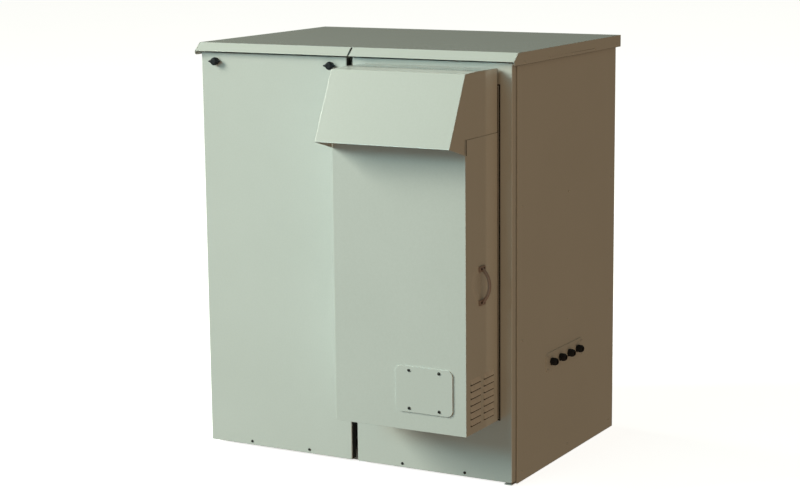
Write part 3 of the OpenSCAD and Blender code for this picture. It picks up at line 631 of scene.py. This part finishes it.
def seal_rings(cap, stand):
    """The soft ring that shows inside the dome nut."""
    outline = [(cap * 0.52, stand - 2.3 * MM), (cap * 0.52, stand - 1.2 * MM), (cap * 0.49, stand - 0.7 * MM),
               (GLAND_BORE + 0.5 * MM, stand - 0.9 * MM), (GLAND_BORE + 0.1 * MM, stand - 1.5 * MM),
               (GLAND_BORE + 0.1 * MM, stand - 2.3 * MM), (cap * 0.52, stand - 2.3 * MM)]
    return [(round_ring(SEAL_POINTS, reach), height) for reach, height in outline]


def cable_gland(node):
    """Every gland of the row, with its seal ring."""
    bm, seals = bmesh.new(), bmesh.new()
    plate_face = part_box("gland_plate")[1][0]
    for points in islands(node):
        low, high = span(points)
        place = along(0, (low + high) / 2, 1, plate_face)
        cap, stand, inner = (high.y - low.y) / 2, high.x - plate_face, low.x - plate_face
        loft(bm, gland_rings(cap, stand, inner), place, close_start=False, close_end=False)
        loft(seals, seal_rings(cap, stand), place, close_start=False, close_end=False)
    bmesh.ops.remove_doubles(bm, verts=bm.verts[:], dist=FINE_WELD)
    bmesh.ops.remove_doubles(seals, verts=seals.verts[:], dist=FINE_WELD)
    piece = make_piece(node + "_moulded", bm, "black_plastic", frame_body(node), smooth_angle=30.0)
    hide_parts(node)
    make_piece("gland_seal_rings", seals, "black_rubber", frame_body(node))


cable_gland("cable_glands")


# ------------------------------------------------------------ seals, painted gap shade and louvres

GASKET_WIDTH = 16.0 * MM
GASKET_INSET = 1.0 * MM
GASKET_BELLY = 1.6 * MM


def foam_ring(node):
    """The foam ring behind the casing, with eased edges and slightly swollen sides."""
    low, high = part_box(node)
    bm = bmesh.new()
    width, belly = GASKET_WIDTH, GASKET_BELLY
    x0, x1 = low[0] + GASKET_INSET, high[0] - GASKET_INSET
    z0, z1 = low[2] + GASKET_INSET, high[2] - GASKET_INSET
    y0, y1 = low[1], high[1]
    profile = [(0.0, y0 + 0.2 * MM), (belly, y0), (width - belly, y0), (width, y0 + 1.5 * MM),
               (width + belly * 0.5, (y0 + y1) / 2), (width, y1 - 1.5 * MM), (width - belly, y1), (belly, y1),
               (0.0, y1 - 1.5 * MM), (-belly * 0.5, (y0 + y1) / 2)]
    rows = []
    corners = ((x0, z0, 1, 1), (x1, z0, -1, 1), (x1, z1, -1, -1), (x0, z1, 1, -1))
    for corner_x, corner_z, way_x, way_z in corners:
        rows.append([bm.verts.new((corner_x + way_x * d, y, corner_z + way_z * d)) for d, y in profile])
    for here, there in zip(rows, rows[1:] + rows[:1]):
        for i in range(len(profile)):
            j = (i + 1) % len(profile)
            bm.faces.new((here[i], here[j], there[j], there[i]))
    piece = make_piece(node + "_foam", bm, "black_rubber", frame_body(node))
    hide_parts(node)


foam_ring("unit_gasket")


def soft_block(bm, low, high, radius):
    """A block with rounded edges, added to bm."""
    made = bmesh.ops.create_cube(bm, size=1.0)["verts"]
    for vert in made:
        vert.co = Vector([low[i] if vert.co[i] < 0 else high[i] for i in range(3)])
    edges = list({edge for vert in made for edge in vert.link_edges})
    bmesh.ops.bevel(bm, geom=edges, offset=radius, segments=2, affect="EDGES", profile=0.6)


def edge_black_strip():
    """A black strip on the cover's right edge, in the slot beside the door, which makes that edge of the slot
    dark.
    """
    low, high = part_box("left_cover")
    stand, end = 1.3 * MM, 3.0 * MM
    bm = bmesh.new()
    soft_block(bm, (high[0] + 0.05 * MM, low[1] + 2.8 * MM, low[2] + end),
               (high[0] + stand, high[1] - 2.0 * MM, high[2] - end), 0.4 * MM)
    make_piece("cover_edge_foam", bm, "black_rubber", "cover")


edge_black_strip()


LOUVRE_ROWS = 7
LOUVRE_PITCH = 22.0 * MM
LOUVRE_FIRST = 29.0 * MM                # above the gasket's underside
LOUVRE_MIDDLE = 112.0 * MM              # in front of the gasket
LOUVRE_COLUMN = 46.0 * MM               # from the middle to either column
LOUVRE_HALF = 37.5 * MM
LOUVRE_TALL = 15.0 * MM
LOUVRE_REACH = 4.4 * MM
LOUVRE_SHEET = 0.8 * MM


def louvre_scoop(bm, side, face, y0, z0):
    """A pressed scoop, level with the wall at its top and its ends, open along its lower lip."""
    columns, steps = 20, 8
    outer, inner = [], []
    for j in range(columns + 1):
        across = -1 + 2 * j / columns
        fade = max(0.0, 1 - abs(across) ** 10) ** 0.5
        line_out, line_in = [], []
        for k in range(steps + 1):
            fall = k / steps
            out = 0.1 * MM + LOUVRE_REACH * fade * (1 - (1 - fall) ** 1.25)
            y, z = y0 + across * LOUVRE_HALF, z0 + LOUVRE_TALL * (1 - fall)
            line_out.append(bm.verts.new((face + side * out, y, z)))
            line_in.append(bm.verts.new((face + side * max(0.0, out - LOUVRE_SHEET), y, z)))
        outer.append(line_out)
        inner.append(line_in)
    for j in range(columns):
        for k in range(steps):
            bm.faces.new((outer[j][k], outer[j + 1][k], outer[j + 1][k + 1], outer[j][k + 1]))
            bm.faces.new((inner[j][k], inner[j][k + 1], inner[j + 1][k + 1], inner[j + 1][k]))
        bm.faces.new((outer[j][steps], outer[j + 1][steps], inner[j + 1][steps], inner[j][steps]))


def louvre_lip_shadow(bm, side, face, y0, z0):
    """A black strip on the wall under a scoop's lip: partly the dark opening there, partly painted shadow
    below the lip.
    """
    x0, x1 = sorted((face - side * 0.5 * MM, face + side * 0.35 * MM))
    half = LOUVRE_HALF * 0.96
    soft_block(bm, (x0, y0 - half, z0 - 5.0 * MM), (x1, y0 + half, z0 + 1.5 * MM), 0.3 * MM)


def louvres():
    """Two columns of louvres on either side of the casing."""
    left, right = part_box("handle_left")[1][0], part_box("handle_right")[0][0]
    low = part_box("unit_gasket")[0]
    scoops, lip_shadows = bmesh.new(), bmesh.new()
    for side, face in ((-1, left), (1, right)):
        for column in (-1, 1):
            for row in range(LOUVRE_ROWS):
                y0 = low[1] - LOUVRE_MIDDLE + column * LOUVRE_COLUMN
                z0 = low[2] + LOUVRE_FIRST + row * LOUVRE_PITCH
                louvre_scoop(scoops, side, face, y0, z0)
                louvre_lip_shadow(lip_shadows, side, face, y0, z0)
    # The louvres wear the paler coat, a painted highlight.
    make_piece("formed_louvres", scoops, "louvre_painted_highlight", "door", smooth_angle=60.0)
    # Black strips under the lips: painted shadow, together with the dark opening.
    make_piece("louvre_slots", lip_shadows, "black_rubber", "door")


louvres()


def cheek_foot():
    """Height of the lower rear corner of the hood's cheek."""
    data = nodes["hood_cover"].data
    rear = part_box("unit_casing")[0][1]
    return min(v.co.z for v in data.vertices if abs(v.co.y - rear) < 4.0 * MM)


def hood_seam_shade():
    """A black strip that shows as a thin dark line where each cheek of the hood meets the casing: painted
    shade for the gap at that seam.
    """
    low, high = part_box("unit_casing")
    seam = 48.0 * MM
    bottom = cheek_foot()
    bm = bmesh.new()
    for side, face in ((-1, low[0]), (1, high[0])):
        x0, x1 = sorted((face - side * 0.6 * MM, face + side * 0.3 * MM))
        soft_block(bm, (x0, low[1] - 1.9 * MM, bottom), (x1, low[1] + 0.9 * MM, bottom + seam), 0.2 * MM)
    make_piece("hood_side_seals", bm, "black_rubber", "door")


def casing_foot_shade():
    """A black strip on the door, all round the foot of the casing: painted shade that darkens the gap there.
    """
    low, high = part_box("unit_casing")
    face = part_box("unit_gasket")[1][1]
    out, under = 0.9 * MM, 3.0 * MM
    front, back = face - 1.6 * MM, face + 0.2 * MM
    bm = bmesh.new()
    for x0, x1 in ((low[0] - out, low[0] + under), (high[0] - under, high[0] + out)):
        soft_block(bm, (x0, front, low[2] - out), (x1, back, high[2] + out), 0.5 * MM)
    for z0, z1 in ((low[2] - out, low[2] + under), (high[2] - under, high[2] + out)):
        soft_block(bm, (low[0], front + 0.05 * MM, z0), (high[0], back, z1), 0.5 * MM)
    make_piece("casing_foot_bead", bm, "black_rubber", "door")


hood_seam_shade()
casing_foot_shade()


# ------------------------------------------------------------------- studio

def plain_floor():
    """A pale glowing floor that neither lights the cabinet nor is mirrored in it."""
    material, tree, shader = new_material("pale_floor")
    coords = object_coords(tree)
    shade = spread(tree, noise(tree, coords, 1.4, 3.0), 0.0, 1.0)
    colour = mix_colour(tree, shade, (0.80, 0.80, 0.79), (0.76, 0.76, 0.75))
    tree.links.new(colour, shader.inputs["Base Color"])
    shader.inputs["Roughness"].default_value = 0.75
    shader.inputs["Emission Color"].default_value = (1.0, 1.0, 0.99, 1.0)
    shader.inputs["Emission Strength"].default_value = 0.86
    mesh = bpy.data.meshes.new("floor")
    reach, level = 40.0, -0.5 * MM
    corners = [(x, y, level) for x, y in ((-reach, -reach), (reach, -reach), (reach, reach), (-reach, reach))]
    mesh.from_pydata(corners, [], [(0, 1, 2, 3)])
    mesh.materials.append(material)
    floor = add_object("floor", mesh)
    floor.visible_diffuse = False
    floor.visible_glossy = False
    return floor


plain_floor()

LIGHT_FAR = 12.0
AIM = Vector((0.0, -0.4, 0.75))


def soft_light(name, place, target, size, watts, colour, glints=True):
    """A rectangular light that the camera can't see. Without glints it isn't mirrored either."""
    data = bpy.data.lights.new(name, "AREA")
    data.shape = "RECTANGLE"
    data.size, data.size_y = size
    data.energy = watts
    data.color = colour
    light = bpy.data.objects.new(name, data)
    scene.collection.objects.link(light)
    light.location = place
    aim = Vector(target) - Vector(place)
    light.rotation_euler = aim.to_track_quat("-Z", "Y").to_euler()
    light.visible_camera = False
    light.visible_glossy = glints
    return light


def window_light(name, azimuth, height, size, watts, colour, glints=True):
    """A large soft light, azimuth degrees to the left of straight ahead of the cabinet."""
    turn, tilt = math.radians(azimuth), math.radians(height)
    way = Vector((-math.sin(turn) * math.cos(tilt), -math.cos(turn) * math.cos(tilt), math.sin(tilt)))
    soft_light(name, AIM + way * LIGHT_FAR, AIM, size, watts, colour, glints)


window_light("key_light", 56.0, 28.0, (4.2, 5.4), 1700.0, (1.0, 1.0, 0.84))
window_light("cool_light", 21.0, 22.0, (7.2, 2.4), 344.0, (0.50, 0.94, 1.0))
window_light("side_light", 98.0, 6.0, (3.0, 4.0), 600.0, (0.98, 1.0, 0.92), glints=False)


def ramp(tree, value, low, high):
    result = spread(tree, value, 0.0, 1.0, low, high)
    result.node.interpolation_type = "SMOOTHERSTEP"
    return result


def backdrop(tree, left_front, right_front, left_back, right_back, top):
    """Light that comes from each quarter of the room, blended softly."""
    direction = tree.nodes.new("ShaderNodeTexCoord").outputs["Generated"]
    parts = tree.nodes.new("ShaderNodeSeparateXYZ")
    tree.links.new(direction, parts.inputs["Vector"])
    rightward = ramp(tree, parts.outputs["X"], -0.5, 0.5)
    front = mix_colour(tree, rightward, left_front, right_front)
    back = mix_colour(tree, rightward, left_back, right_back)
    around = mix_colour(tree, ramp(tree, parts.outputs["Y"], -0.3, 0.6), front, back)
    return mix_colour(tree, ramp(tree, parts.outputs["Z"], 0.3, 0.8), around, top)


def background(tree, colour, strength):
    node = tree.nodes.new("ShaderNodeBackground")
    if isinstance(colour, tuple):
        node.inputs["Color"].default_value = (*colour, 1.0)
    else:
        tree.links.new(colour, node.inputs["Color"])
    node.inputs["Strength"].default_value = strength
    return node.outputs[0]


def choose(tree, switch, otherwise, chosen):
    node = tree.nodes.new("ShaderNodeMixShader")
    for socket, link in zip(node.inputs, (switch, otherwise, chosen)):
        tree.links.new(link, socket)
    return node.outputs[0]


def studio_world():
    """Dim coloured walls as fill and as reflections, and a white background for the camera."""
    world = bpy.data.worlds.new("studio")
    scene.world = world
    world.use_nodes = True
    tree = world.node_tree
    tree.nodes.clear()
    out = tree.nodes.new("ShaderNodeOutputWorld")
    path = tree.nodes.new("ShaderNodeLightPath")
    fill = backdrop(tree, left_front=(0.28, 0.40, 0.40), right_front=(0.66, 0.41, 0.23),
                    left_back=(0.22, 0.22, 0.20), right_back=(0.60, 0.46, 0.33), top=(0.12, 0.15, 0.11))
    mirrored = backdrop(tree, left_front=(0.22, 0.32, 0.33), right_front=(0.50, 0.33, 0.20),
                        left_back=(0.14, 0.15, 0.125), right_back=(0.03, 0.026, 0.02), top=(0.24, 0.26, 0.24))
    lit = choose(tree, path.outputs["Is Glossy Ray"], background(tree, fill, 0.62),
                 background(tree, mirrored, 0.80))
    white = background(tree, (1.0, 1.0, 1.0), 1.0)
    tree.links.new(choose(tree, path.outputs["Is Camera Ray"], lit, white), out.inputs["Surface"])


studio_world()
scene.view_settings.view_transform = "Standard"


# ------------------------------------------------------------------- camera

CAMERA_PLACE = Vector((3.2169, -5.9276, 1.8973))
CAMERA_TURN = (28.957, 10.387, -0.566)  # yaw, pitch and roll in degrees
LENS = 88.12


def photo_camera():
    """The photograph's viewpoint, as fitted to the cabinet's edges."""
    yaw, pitch, roll = (math.radians(angle) for angle in CAMERA_TURN)
    ahead = Vector((-math.sin(yaw) * math.cos(pitch), math.cos(yaw) * math.cos(pitch), -math.sin(pitch)))
    level = Vector((math.cos(yaw), math.sin(yaw), 0.0))
    lift = level.cross(ahead)
    right = level * math.cos(roll) + lift * math.sin(roll)
    up = lift * math.cos(roll) - level * math.sin(roll)
    data = bpy.data.cameras.new("camera")
    data.sensor_width = 36.0
    data.lens = LENS
    data.clip_end = 200.0
    camera = bpy.data.objects.new("camera", data)
    scene.collection.objects.link(camera)
    place = Matrix((right, up, -ahead)).transposed().to_4x4()
    place.translation = CAMERA_PLACE
    camera.matrix_world = place
    return camera


scene.camera = photo_camera()
